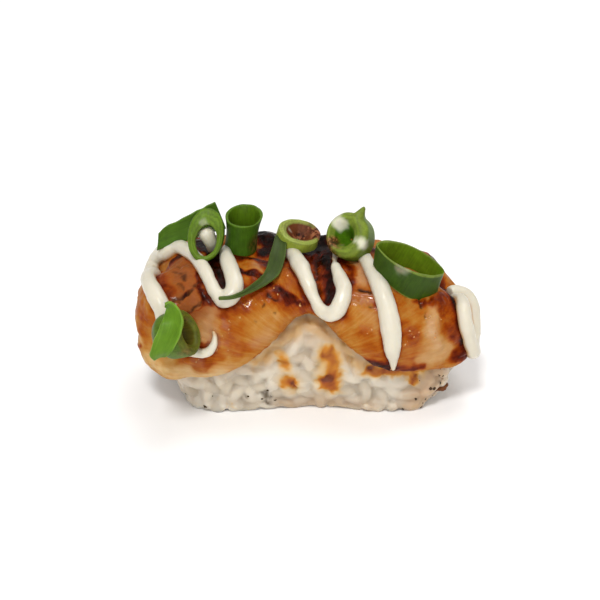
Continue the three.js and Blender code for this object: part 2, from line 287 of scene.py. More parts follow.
# Scallop: a slice of muscle, seared brown, under a film of sauce whose depth sets its colour.
# A mark is its value, how far it reaches, its route on the slice, each stop given as x and the
# degrees round the nigiri from its top towards the front, and how much of its reach is soft edge,
# which is all of it where nothing is given. A value is the film's depth from 0 to 1, millimetres in
# cracks, lumps and hollows, and how strong the mark is elsewhere.
scallop = {
    "voxel": 0.285,
    "hinge": 10,  # the height that its muscle fans out from
    "pleats": 46,  # to a radian of the fan
    "fibres": 18,
    "relief": (0.22, 0.09, 0.05, 0.09),  # of coarse, middling and fine lumps and of pleats
    "glaze": 0.42,  # how deep the film of sauce is all over
    # Painted one over another, deeper and shallower films alike. Some dark marks are painted shade from
    # the onions and mayonnaise, laid in as deeper film.
    "film": [
        (0.26, 4.6, [(-28, 90), (-18, 94), (-12, 90), (-8, 80)]),
        (0.05, 2.6, [(-28.5, 97), (-22, 99), (-14.5, 98), (-10.5, 91)], 0.9),
        (0.12, 2, [(-31.8, 58), (-31.8, 82)]),
        (0.33, 3.4, [(-9, 60), (-7, 56), (-8, 68)]),
        (0.53, 3, [(-15, 54), (-13.4, 62), (-14.4, 70)]),
        (0.5, 3.4, [(-13, 76), (-9.6, 72)]),
        (0.28, 3.6, [(-18.6, 52), (-18, 60), (-18.4, 68)]),
        (0.34, 2.6, [(-18.4, 42), (-18, 50)]),
        (0.5, 6, [(-26, 0), (-23, 20), (-22.6, 36)]),
        (0.58, 2.4, [(-31, 43), (-30.4, 52), (-30.6, 60)]),
        (0.72, 1.1, [(-32.2, 84), (-31, 94)]),
        (0.7, 2, [(-29.6, 2), (-28, 18), (-26.6, 32), (-25.2, 41), (-24.4, 46)], 0.8),
        # Painted shadow under the arch of mayonnaise, laid in as deeper film.
        (0.85, 1.3, [(-27.4, -12), (-24.2, -5), (-22, 0)], 0.9),
        (0.96, 1.9, [(-18.2, -14), (-17.2, 20), (-16.2, 32), (-15.7, 37)], 0.5),
        # Painted shade: the slice's top behind the left ring, seen dark through its hollow.
        (0.99, 3.6, [(-20, -40), (-10, -35), (-7, -25)], 0.7),
        (0.96, 3, [(-21.6, -24), (-19.6, -14), (-18.4, -8)], 0.8),
        (0.97, 3, [(-8.4, -30), (-7.6, -12), (-7.8, -4)], 0.7),
        # Partly sauce, partly painted shade: a dark line under the mayonnaise's U.
        (0.64, 2, [(-17.6, 43), (-15.8, 50), (-13.8, 52), (-12, 49), (-10.8, 42)], 0.9),
        # Painted shadow of the onion tube over seared flesh.
        (0.8, 2.6, [(-13.4, 6), (-10.4, 8), (-8, 12), (-7.2, 20)], 0.8),
        (0.52, 1.6, [(-11.6, 15), (-10.8, 19)]),
        (0.92, 1.5, [(-12.6, 24), (-10.8, 27), (-8.8, 30)], 0.8),
        (0.66, 3, [(-10.4, 34), (-8, 38), (-6, 44), (-4, 46)]),
        (0.9, 1.9, [(-8.2, 32), (-6.4, 36), (-5, 39), (-3.8, 42)], 0.9),
        (0.54, 2.2, [(-3.8, 26), (-3, 34)]),
        # Partly sauce, partly painted shade along the left side of the mayonnaise's second U.
        (0.74, 1.5, [(-3.6, 14), (-2.8, 28), (-1.4, 40), (-0.4, 46)], 0.9),
        (0.66, 2.2, [(-5.4, 8), (-5, 20)]),
        (0.8, 1.6, [(-3.6, 44), (-1.4, 47), (0.2, 50)], 0.9),
        (0.6, 1.6, [(-2.6, 50), (0.4, 51), (3.6, 55), (7, 56)]),
        (0.99, 5, [(0.5, -40), (1.6, -20), (2.4, -4)], 0.7),
        (0.8, 3.6, [(1.4, -2), (1.4, 17), (1.6, 34)], 0.8),
        (0.66, 1.8, [(0.2, 12), (0.6, 24), (1.2, 36)]),
        (0.97, 1.7, [(3.2, 4), (3.5, 20), (3.8, 33), (3.3, 43)], 0.6),
        (0.8, 2.2, [(6, -10), (6.8, 10), (7.4, 24), (7.2, 38)], 0.9),
        (0.8, 2.6, [(5.6, -12), (9, -8), (13, -6)]),
        (0.44, 2.7, [(9.4, 10), (9.8, 20), (9.6, 32)], 0.9),
        (0.52, 2.2, [(8.4, 41), (11, 43)]),
        (0.36, 4, [(9, 56), (11.6, 60), (12, 70)]),
        (0.56, 2.6, [(9.4, 66), (12, 76), (13.4, 82)]),
        (0.46, 3, [(16.6, 42), (19.6, 48)]),
        (0.6, 3, [(16.6, 62), (18.2, 67), (19.4, 68)]),
        (0.54, 3.4, [(18, 80), (20, 84)]),
        (0.26, 2, [(22.2, 44), (22.6, 54), (22.4, 66)]),
        (0.2, 3.2, [(23, 76), (24.6, 81), (21.8, 86)]),
        (0.62, 2.3, [(23.8, 42), (24.6, 48)]),
        (0.68, 2.6, [(25.2, 60), (26.4, 68)]),
        (0.72, 2.6, [(23.8, 2), (24.8, 16), (25.8, 34), (26.8, 50), (27.8, 66), (28.6, 80)], 0.9),
        (0.97, 1.5, [(25.2, 10), (26.4, 30), (27.3, 46), (28.1, 62), (29, 80), (29.2, 92)], 0.7),
        (0.74, 2.4, [(26.9, 89), (28.4, 91), (29.2, 88)], 0.6),
        (0.72, 1.8, [(10.6, 84), (13.4, 89), (16, 92), (18.5, 93), (21, 93)], 0.9),
        (0.84, 1.5, [(11.2, 86), (13.4, 89), (15.6, 91)], 0.9),
        (0.86, 4.4, [(24, -46), (26.6, -24), (27.2, -6), (27, 10)], 0.8),
        (0.88, 2.6, [(24, -20), (26, -20), (27.6, -16)], 0.8),
        (0.57, 2.5, [(-22.7, 86), (-20.9, 88), (-19, 88), (-17.3, 82)], 0.6),
        (0.62, 1.7, [(-21.7, 75), (-19.8, 75), (-18.5, 71)], 0.9),
        (0.62, 0.8, [(0, 53), (-1.7, 55), (-4.5, 62), (-7.4, 73), (-10.5, 86)]),
        # Partly sauce, partly painted shade under the raised edge of a crack.
        (0.84, 0.7, [(-18.8, 28), (-20.4, 35), (-21.9, 40), (-23.6, 46)]),
        (0.82, 1.3, [(-20.6, 24), (-20, 34), (-19.6, 39), (-18.8, 45)], 0.9),
        # Painted shadow under the large onion ring.
        (0.74, 1.4, [(19.6, 44), (22.4, 43), (24.4, 36)], 0.9),
        # Partly sauce, partly painted shade under the raised edge of a crack.
        (0.74, 0.6, [(-19.2, 44), (-20.4, 49), (-21.6, 52)]),
        (0.9, 3, [(-22, -55), (-4, -60), (10, -50), (22, -45)], 0.9),
    ],
    "seared": [
        (1, 5.5, [(-26, 4), (-23, 22), (-21.6, 40), (-21.4, 48)], 0.8),
        (0.4, 3, [(-18.4, 48), (-18.2, 60)]),
        (0.6, 2, [(8.4, 41), (11, 43)]),
        (0.5, 2.4, [(-5.6, 10), (-5.2, 24)]),
        (0.7, 2.2, [(-4, 18), (-3.2, 34)]),
    ],
    "charred": [
        (0.65, 0.6, [(-24.9, 19), (-23.8, 23), (-22.8, 25)]),
        (0.8, 0.8, [(-22.9, 27), (-22.4, 31)], 0.9),
        (0.8, 0.65, [(-24.6, 44), (-23.2, 42), (-22, 40), (-20.6, 35)]),
        (0.9, 0.6, [(-22.6, 53), (-21.4, 51), (-20.4, 47)]),
        (0.6, 0.5, [(-23.9, 33), (-22.8, 37)]),
        (0.7, 0.4, [(-24.6, 13), (-23.8, 16)]),
        (0.9, 0.55, [(-7.6, 42), (-6.7, 44), (-5.8, 45)], 0.9),
        (0.9, 0.45, [(-8.3, 49), (-8.1, 46)]),
        (0.8, 0.4, [(-9.6, 58)]),
        (0.9, 0.4, [(-6.4, 53)]),
        (1, 0.5, [(9.2, 38), (10.2, 39), (10.9, 41)], 0.9),
        (0.6, 0.45, [(-31.6, 90), (-30.4, 96)]),
        (0.8, 0.4, [(-12, 90)]),
    ],
    "cracks": [
        (0.5, 0.5, [(-19, 29), (-20.5, 36), (-21.9, 40), (-23.6, 45)]),
        (0.4, 0.4, [(-19.3, 45), (-20.4, 49), (-21.5, 51)]),
        (0.3, 0.35, [(-19.7, 48), (-18.8, 53)]),
        (0.45, 0.45, [(-12.6, 24), (-10.8, 27), (-8.8, 30)]),
        (0.35, 0.4, [(-7.6, 43), (-5.8, 45)]),
        (0.4, 0.4, [(19.7, 38), (20.4, 49), (20.9, 54), (21.1, 61)]),
        (0.35, 0.5, [(7.6, 45), (9.5, 47), (11.4, 49)]),
        (0.3, 0.4, [(9.2, 38), (10.9, 41)]),
        (0.5, 0.9, [(1.8, -10), (1.4, 20), (1.6, 50)]),
    ],
    "bare": [
        (0.8, 3, [(-18.4, 50), (-18.2, 60), (-18.6, 68)]),
        (0.5, 3, [(-22, 96), (-14.5, 95)]),
        (0.75, 2.7, [(9.4, 8), (9.8, 20), (9.4, 31)], 0.9),
        (0.7, 1.9, [(22.2, 44), (22.6, 54), (22.4, 66)]),
        (0.7, 3.2, [(23, 76), (24.6, 81), (21.8, 86)]),
        (0.5, 2.6, [(-9, 70), (-7.6, 64)]),
        (0.4, 2.4, [(-9.6, 12), (-9.2, 22)]),
    ],
    "lumps": [
        (1.5, 4.2, [(0.6, -34), (3.2, -30)]),
        (0.9, 3.6, [(-8.4, -34), (-7.4, -28)]),
        (0.7, 2.6, [(-4.2, 26), (-3.2, 36)]),
        (0.4, 2, [(-10.8, 12), (-10.2, 20)]),
        (0.5, 1.8, [(7.6, 41), (11.4, 44)]),
        (0.5, 3, [(-22.4, 24), (-22.6, 32)]),
        (0.5, 2, [(22.6, 46), (22.8, 62), (23.4, 76)]),
        (0.8, 1.8, [(27.4, 88), (28.8, 89)]),
        (0.8, 3, [(27, 97), (28.6, 96)]),
        (0.5, 1.6, [(-22, 86), (-19, 88)]),
        (1.6, 5, [(-30.2, 88), (-29.4, 96), (-26, 101)]),
        (0.9, 4.5, [(-32, 52), (-31.8, 74)]),
    ],
    "hollows": [
        (3.6, 6.5, [(27.4, -28), (26.8, -12), (27, 2)]),
        (2.5, 6, [(-30.6, -28), (-29.4, -12), (-28.4, -4)]),
    ],
    "wet": [
        (1, 1.4, [(-12.4, 46), (-10.6, 47)]),
        (0.5, 1, [(-6.6, 36), (-5.4, 40)]),
        (0.8, 0.9, [(-4, 28), (-3.2, 31)]),
        (1, 1.5, [(8.8, 44), (11.6, 45)]),
        (1, 1.3, [(21.6, 52), (22.2, 55)]),
        (1, 1.6, [(22.4, 62), (22.8, 72)]),
        (0.8, 1.6, [(18.2, 62), (19.8, 67)]),
        (0.7, 1.2, [(-14.8, 56), (-14.4, 61)]),
        (0.8, 1.4, [(-17.6, 70), (-15, 72)]),
        (0.6, 1.4, [(-21, 84), (-19, 84)]),
        (0.3, 2, [(2, 30), (3.4, 42)]),
    ],
}
# The nigiri's long axis, how far it runs either way, and a distance from it that clears the nigiri.
axis = {"height": 11.8, "half": 14.4, "clear": 60}


# The place on a piece straight in towards a point of the axis, or else the nearest to a spot.
def onOutside(tree, middle, outward, spot):
    return tree.ray_cast(middle + outward * axis["clear"], -outward)[0] or tree.find_nearest(spot)[0]


# The place on a piece at x along the nigiri and so many degrees round from its top.
def onSide(tree, x, degrees):
    turn = math.radians(degrees)
    outward = Vector((0, -math.sin(turn), math.cos(turn)))
    middle = Vector((x, 0, axis["height"]))
    return onOutside(tree, middle, outward, middle + outward * 8)


def settled(tree, route, steps=4):
    laid = [onSide(tree, *route[0])]
    for (x, turn), (nextX, nextTurn) in zip(route, route[1:]):
        for step in range(1, steps + 1):
            share = step / steps
            laid.append(onSide(tree, x + (nextX - x) * share, turn + (nextTurn - turn) * share))
    return laid


# Points pushed about at random, so that a mark's outline wanders as a real one does.
def warped(points, size, amount, seed):
    shift = Vector((3.3 * seed, 7.9 * seed, 1.7 * seed))
    return points + amount * np.array([noise.noise_vector(Vector(p) / size + shift) for p in points])


def covered(points, tree, reach, route, softness=1):
    return 1 - ease(nearRoute(points, settled(tree, route)), reach * (1 - softness), reach)


def strokes(points, tree, marks):
    total = np.zeros(len(points))
    for value, *mark in marks:
        total = np.maximum(total, value * covered(points, tree, *mark))
    return total


def makeScallop():
    mesh = remeshed(cadCopy("scallop_slice"), scallop["voxel"], 7)
    tree = treeOf(mesh)
    points = readPoints(mesh)
    coarse = grainyNoise(points, 7.0, 1)
    middling = grainyNoise(points, 2.4, 2)
    fine = grainyNoise(points, 0.9, 3)
    loose = warped(warped(points, 3.5, 1.1, 1), 1.1, 0.45, 2)
    tight = warped(points, 1.3, 0.55, 3)
    film = scallop["glaze"] + 0.09 * coarse + 0.05 * middling
    for depth, *mark in scallop["film"]:
        film = film + (depth + 0.06 * middling - film) * covered(loose, tree, *mark)
    film = np.clip(film, 0, 1)
    seared, wet, bare = [strokes(loose, tree, scallop[name]) for name in ("seared", "wet", "bare")]
    charred, cracks = [strokes(tight, tree, scallop[name]) for name in ("charred", "cracks")]
    lumps, hollows = [strokes(points, tree, scallop[name]) for name in ("lumps", "hollows")]
    cracks = cracks * ease(middling, -0.55, -0.05)
    # Bundles of muscle run lengthways and fan out from the hinge.
    turn = np.arctan2(points[:, 2] - scallop["hinge"], np.abs(points[:, 0]) + 6)
    pleats = np.sin(turn * scallop["pleats"] + 3.2 * middling) * ease(np.abs(points[:, 0]), 2, 7)
    pleats = pleats * ease(middling + coarse, -0.4, 0.7)
    away = np.hypot(points[:, 0], points[:, 2] - scallop["hinge"])
    fibres = np.column_stack([0.07 * away, scallop["fibres"] * turn, 0.3 * points[:, 1]])
    patterns = (coarse, middling, fine, pleats)
    lift = sum(height * pattern for height, pattern in zip(scallop["relief"], patterns))
    lift = lift - cracks + (lumps - hollows) + 0.2 * ease(film, 0.5, 0.85)
    writePoints(mesh, lifted(mesh, lift))
    # Cracks are painted dark: partly char, partly painted shade in the crevices.
    charred = np.maximum(charred, 0.8 * ease(cracks, 0.1, 0.4))
    bare = bare * (1 - ease(film, 0.46, 0.62))
    writeAttributes(mesh, film=film, seared=seared, charred=charred, wet=wet, bare=bare, fibres=fibres)
    return mesh


# Grilled scallop: moist translucent muscle, so light bleeds through it, under a sweet sauce that goes from
# amber where thin to nearly black in pools and in the painted shade laid into its film; only the wet spots
# shine sharply.
def grilledScallop():
    material, add = newMaterial("grilledScallop")
    place = add("TexCoord").outputs["Object"]
    painted = [add("Attribute", attribute_name=name).outputs["Fac"]
               for name in ("film", "seared", "charred", "wet", "bare")]
    film, seared, charred, wet, bare = painted
    blotches = add("TexNoise", {"Vector": place, "Scale": 0.7 / mm, "Detail": 5.0, "Roughness": 0.6})
    fibres = add("Attribute", attribute_name="fibres").outputs["Vector"]
    streaks = add("TexNoise", {"Vector": fibres, "Scale": 1.8, "Detail": 4.0, "Roughness": 0.6})
    uneven = add("Math", {0: blotches, 1: 0.2, 2: -0.1}, operation="MULTIPLY_ADD")
    lined = add("Math", {0: streaks, 1: -0.34, 2: 0.17}, operation="MULTIPLY_ADD")
    noisy = add("Math", {0: uneven, 1: lined}, operation="ADD")
    depth = add("Math", {0: film, 1: noisy}, operation="ADD")
    sauceAndShadeColour = add("ValToRGB", {"Fac": depth}, stops=[
        (0.0, "#c8a978"), (0.2, "#b48649"), (0.4, "#a56a26"), (0.52, "#9a500e"),
        (0.64, "#803204"), (0.76, "#551502"), (0.88, "#2c0700"), (1.0, "#0c0401"),
    ])
    brown = add("MixRGB", {"Fac": blotches, 1: "#985528", 2: "#763e1a"})
    searFade = add("Math", {0: depth, 1: -3.0, 2: 2.4}, operation="MULTIPLY_ADD", use_clamp=True)
    searShare = add("Math", {0: seared, 1: searFade}, operation="MULTIPLY")
    flesh = add("MixRGB", {"Fac": streaks, 1: "#ab8058", 2: "#bf9a70"})
    bareShare = add("Math", {0: bare, 1: 0.8}, operation="MULTIPLY")
    moist = add("MixRGB", {"Fac": bareShare, 1: sauceAndShadeColour, 2: flesh})
    seen = add("MixRGB", {"Fac": searShare, 1: moist, 2: brown})
    burnt = add("MixRGB", {"Fac": charred, 1: seen, 2: "#261008"})
    relief = add("Math", {0: streaks, 1: 1.1}, operation="MULTIPLY")
    height = add("Math", {0: blotches, 1: 0.8, 2: relief}, operation="MULTIPLY_ADD")
    bump = add("Bump", {"Height": height, "Strength": 0.75, "Distance": 0.2 * mm})
    smooth = add("MapRange", {"Value": film, "From Min": 0.5, "From Max": 0.85, "To Min": 0.4,
                              "To Max": 0.24})
    gloss = add("Math", {0: wet, 1: -0.2, 2: smooth}, operation="MULTIPLY_ADD")
    wetPatches = add("TexNoise", {"Vector": place, "Scale": 0.19 / mm, "Detail": 4.0, "Roughness": 0.6})
    licked = add("MapRange", {"Value": wetPatches, "From Min": 0.48, "From Max": 0.62, "To Min": 0.0,
                              "To Max": 0.25})
    shine = add("Math", {0: wet, 1: licked}, operation="MAXIMUM")
    surface = add("BsdfPrincipled", {
        "Base Color": burnt,
        "Roughness": gloss,
        "Subsurface Weight": 0.3,
        "Subsurface Radius": (1.0, 0.4, 0.15),
        "Subsurface Scale": 1.5 * mm,
        "IOR": 1.4,
        "Specular IOR Level": 0.06,
        "Coat Weight": shine,
        "Coat Roughness": 0.1,
        "Normal": bump,
    })
    add("OutputMaterial", {"Surface": surface})
    return material


scallopMesh = makeScallop()
scallopTree = treeOf(scallopMesh)
scallopMaterial = grilledScallop()
print("slice painted")


# Rice: short grains pressed together over a smaller core, their sticky skins merged. Its marks are
# as on the scallop, and two follow the edge of the cleft in the slice's front, where rice shows.
cleft = [(-10, 92), (-7.2, 81), (-4.4, 66), (-1.7, 57), (0.1, 56), (2, 59), (5.2, 73), (9.7, 94)]
rice = {
    "grain": (5.4, 2.5, 2.1),  # length, width and thickness
    "spacing": 2,
    "tries": 9000,
    "tucked": 2.4,  # how far grains go on up under the slice
    "sunk": 0.8,  # how far a grain's middle lies under the bed's outside
    "lowest": 0.9,  # height of the lowest grains' middles
    "coreVoxel": 0.8,
    "coreInset": 1.1,
    "coreFoot": 0.4,
    # How far grains stand off the bed's outside and sink under it, and the share kept of any more.
    "proud": (0.1, 0.35),
    "dented": (-0.22, 0.3),
    "voxel": 0.29,
    "seed": 7,
    "stains": [
        (0.95, 2.3, [(-4, 112), (-3.3, 115)]),
        (0.4, 3.2, [(-4, 110), (-3.2, 118)]),
        (0.6, 1.8, [(-5.4, 84), (-4.8, 92), (-4.4, 100)]),
        (0.75, 2.8, [(3, 82), (4.2, 92), (3.8, 102)]),
        (1.05, 2.9, [(4.2, 104), (3, 113), (4.4, 116)]),
        (0.4, 4, [(3.4, 86), (3.4, 116)]),
        (0.9, 1.7, [(18.9, 108), (19.6, 112)]),
        (1, 1, [(-14.9, 132), (-14, 134)]),
        (0.85, 2.4, [(11.4, 101), (13.6, 103), (16.8, 105), (21, 106)]),
        (1, 1.3, [(18.7, 112), (19.6, 117)]),
        (0.26, 3.4, cleft),
        (0.9, 1.3, [(25, 106), (26.4, 106)]),
    ],
    "sooty": [
        (1, 1.4, [(-8.6, 127), (-7.4, 128)]),
        (1, 1.1, [(-7.8, 131), (-7.2, 132)]),
        (0.6, 0.8, [(-11.8, 126), (-11.2, 127)]),
        (0.6, 1.3, [(22.6, 126), (23.8, 128)]),
        (0.4, 1.6, [(20.6, 132), (22.6, 134)]),
    ],
    "soaked": [
        (0.9, 3.6, cleft),
        (0.4, 5, [(-1.5, 60), (0.5, 68)]),
        (0.15, 5, [(4.5, 84), (-4, 90)]),
        (0.9, 2.6, [(10, 90), (17, 99), (22, 101)]),
        (0.8, 6, [(25, 104), (22, 124), (20, 136)]),
        (0.55, 4, [(-4, 138), (4, 136), (12, 138)]),
        (0.3, 3, [(-28, 104), (-16, 103), (-8, 94)]),
    ],
}


def grainMatrix(chance, point, outward):
    along = outward.orthogonal().normalized()
    along = Matrix.Rotation(chance.uniform(0, 2 * math.pi), 3, outward) @ along
    along = (along + outward * chance.uniform(-0.3, 0.3)).normalized()
    across = outward.cross(along).normalized()
    up = along.cross(across)
    size = [half * chance.uniform(0.88, 1.1) / 2 for half in rice["grain"]]
    turn = Matrix((along, across, up)).transposed()
    return Matrix.LocRotScale(point, turn, Vector(size))


def scatterGrains(bed, bedTree, chance):
    bed.calc_loop_triangles()
    triangles = [[bed.vertices[i].co for i in t.vertices] for t in bed.loop_triangles]
    areas = [(b - a).cross(c - a).length for a, b, c in triangles]
    kept = []
    places = np.full((rice["tries"], 3), 1e9)
    for a, b, c in chance.choices(triangles, areas, k=rice["tries"]):
        u, v = chance.random(), chance.random()
        if u + v > 1:
            u, v = 1 - u, 1 - v
        spot = a + (b - a) * u + (c - a) * v
        if np.linalg.norm(places[:len(kept) + 1] - np.array(spot), axis=1).min() < rice["spacing"]:
            continue
        # Where the slice hides them, grains are left out.
        low = spot - Vector((0, 0, rice["tucked"]))
        if spot.z > 3 and scallopTree.ray_cast(low, Vector((spot.x * 0.2, spot.y, 0)).normalized())[0]:
            continue
        places[len(kept)] = spot
        kept.append((spot, bedTree.find_nearest(spot)[1]))
    return kept


def makeCore():
    core = remeshed(cadCopy("rice_bed"), rice["coreVoxel"], 2)
    points = lifted(core, -rice["coreInset"])
    points[:, 2] = np.maximum(points[:, 2], rice["coreFoot"])
    writePoints(core, points)
    return core


# The grains in one mesh with the core, and a tree of their middles.
def packGrains(kept, chance):
    grain = bmesh.new()
    bmesh.ops.create_uvsphere(grain, u_segments=10, v_segments=7, radius=1)
    oneGrain = meshFrom(grain, "grain")
    bm = bmesh.new()
    bm.from_mesh(makeCore())
    middles = KDTree(len(kept))
    for index, (spot, outward) in enumerate(kept):
        middle = spot - outward * rice["sunk"]
        middle.z = max(middle.z, rice["lowest"])
        middles.insert(middle, index)
        laid = oneGrain.copy()
        laid.transform(grainMatrix(chance, middle, outward))
        bm.from_mesh(laid)
    middles.balance()
    return remeshed(meshFrom(bm, "rice"), rice["voxel"], 3), middles


# Pressing squeezes the grains nearly flush: their relief is cut down about the bed's outside.
def pressed(mesh, bedTree):
    points = readPoints(mesh)
    sunken = np.zeros(len(points))
    for index, point in enumerate(points):
        place, outward, _, _ = bedTree.find_nearest(point)
        proud = (Vector(point) - place).dot(outward)
        limit, share = rice["proud" if proud > 0 else "dented"]
        beyond = proud - limit if abs(proud) > abs(limit) else 0
        points[index] -= np.array(outward) * beyond * (1 - share)
        sunken[index] = -proud
    points[:, 2] = np.maximum(points[:, 2], 0)
    writePoints(mesh, points)
    writeAttributes(mesh, sunken=sunken)
    return modified(mesh, [("SMOOTH", {"factor": 0.5, "iterations": 2})])


def makeRice():
    bed = cadCopy("rice_bed")
    bedTree = treeOf(bed)
    chance = random.Random(rice["seed"])
    kept = scatterGrains(bed, bedTree, chance)
    mesh, middles = packGrains(kept, chance)
    mesh = pressed(mesh, bedTree)
    tree = treeOf(mesh)
    points = readPoints(mesh)
    points = lifted(mesh, 0.2 * grainyNoise(points, 4.2, 6) + 0.03 * grainyNoise(points, 0.8, 5))
    # The right end bulges out a little over its foot.
    points[:, 0] += 1.1 * hump(points[:, 2] - 5.5, 3) * ease(points[:, 0], 17, 24)
    points[:, 2] = np.maximum(points[:, 2], 0)
    writePoints(mesh, points)
    loose = warped(warped(points, 3.0, 1.0, 4), 0.9, 0.5, 5)
    tones = [chance.random() for _ in kept]
    pearly = [tones[middles.find(p)[1]] for p in points]
    stained, soaked, sooty = [strokes(loose, tree, rice[name]) for name in ("stains", "soaked", "sooty")]
    writeAttributes(mesh, pearly=pearly, stained=stained, soaked=soaked, sooty=sooty, height=points[:, 2])
    print(len(kept), "grains")
    return mesh


# Cooked short-grain rice: pearly and moist, lit from within, stained orange where sauce ran, with painted
# shade greying its foot and darkening the hollows between grains.
def cookedRice():
    material, add = newMaterial("cookedRice")
    place = add("TexCoord").outputs["Object"]
    painted = [add("Attribute", attribute_name=name).outputs["Fac"]
               for name in ("stained", "soaked", "pearly", "sooty", "height", "sunken")]
    stained, soaked, pearly, sooty, height, sunken = painted
    cloud = add("TexNoise", {"Vector": place, "Scale": 0.26 / mm, "Detail": 4.0})
    grain = add("TexNoise", {"Vector": place, "Scale": 1.5 / mm, "Detail": 3.0})
    whiter = add("Math", {0: pearly, 1: 0.6, 2: cloud}, operation="MULTIPLY_ADD")
    # Painted shade: the tone darkens where the surface sinks between grains.
    tone = add("Math", {0: sunken, 1: -0.35, 2: whiter}, operation="MULTIPLY_ADD")
    pearlAndHollowShade = add("MapRange", {"Value": tone, "From Min": 0.35, "From Max": 1.15})
    pearlAndHollowShadeColour = add("MixRGB", {"Fac": pearlAndHollowShade, 1: "#ada08c", 2: "#cdc4b4"})
    # Painted shade: the rice greys towards its foot.
    footShade = add("MapRange", {"Value": height, "From Min": 0.5, "From Max": 4.5, "To Min": 0.18,
                            "To Max": 0.0})
    footShaded = add("MixRGB", {"Fac": footShade, 1: pearlAndHollowShadeColour, 2: "#8f8176"})
    damp = add("MixRGB", {"Fac": soaked, 1: footShaded, 2: "#b08f6c"})
    uneven = add("Math", {0: cloud, 1: 0.3, 2: -0.15}, operation="MULTIPLY_ADD")
    pooled = add("Math", {0: sunken, 1: 0.35, 2: 1.0}, operation="MULTIPLY_ADD")
    gathered = add("Math", {0: stained, 1: pooled}, operation="MULTIPLY")
    stainDepth = add("Math", {0: gathered, 1: uneven}, operation="ADD")
    stainColour = add("ValToRGB", {"Fac": stainDepth}, stops=[
        (0.0, "#cdb07c"), (0.35, "#c6973f"), (0.6, "#b5741e"), (0.85, "#9a4f10"), (1.0, "#70300c"),
    ])
    stainShare = add("MapRange", {"Value": stainDepth, "From Min": 0.0, "From Max": 0.55})
    stainedRice = add("MixRGB", {"Fac": stainShare, 1: damp, 2: stainColour})
    seen = add("MixRGB", {"Fac": sooty, 1: stainedRice, 2: "#5a4c3a"})
    bump = add("Bump", {"Height": grain, "Strength": 0.3, "Distance": 0.1 * mm})
    surface = add("BsdfPrincipled", {
        "Base Color": seen,
        "Roughness": 0.38,
        "Subsurface Weight": 0.85,
        "Subsurface Radius": (1.0, 0.8, 0.6),
        "Subsurface Scale": 3.4 * mm,
        "IOR": 1.4,
        "Specular IOR Level": 0.35,
        "Normal": bump,
    })
    add("OutputMaterial", {"Surface": surface})
    return material


riceMesh = makeRice()
riceTree = treeOf(riceMesh)
addPiece("riceBed", riceMesh, [cookedRice()], "rice", "rice_bed")


